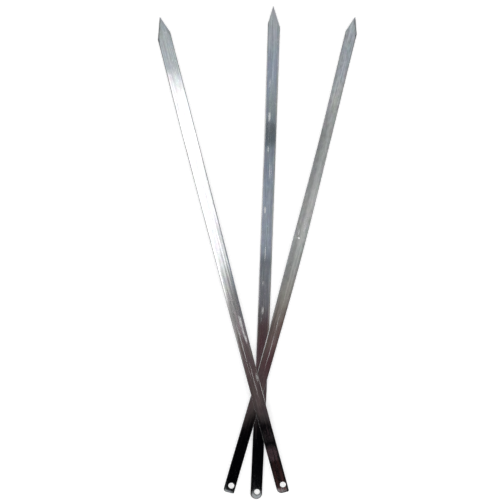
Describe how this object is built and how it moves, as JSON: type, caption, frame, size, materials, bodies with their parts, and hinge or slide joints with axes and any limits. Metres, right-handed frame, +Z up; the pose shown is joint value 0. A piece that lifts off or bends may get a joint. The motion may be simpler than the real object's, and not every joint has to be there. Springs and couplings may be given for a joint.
{
  "type": "kebab skewer",
  "caption": "Set of flat stainless steel kebab skewers, each a strip with a point and a hanging hole, lying loose on one another in a fan.",
  "frame": {"origin": "on the surface that the set lies on, under the middle of its bounding box", "axes": "+Z up from that surface, +Y from the butts towards the points, +X to the right as seen from above"},
  "size_m": [0.2022, 0.5018, 0.0086],
  "materials": {
    "stainless_steel": "worn mill polish with fine scratches along the strip"
  },
  "bodies": {
    "bottom": {"bottom_skewer": "stainless_steel"},
    "second": {"second_skewer": "stainless_steel"},
    "top": {"top_skewer": "stainless_steel"}
  },
  "joints": [
    {"name": "second_lift", "type": "slide", "parent": "bottom", "child": "second", "axis": [0, 0, 1], "range_m": [0, 0.06]},
    {"name": "top_lift", "type": "slide", "parent": "second", "child": "top", "axis": [0, 0, 1], "range_m": [0, 0.06]}
  ]
}
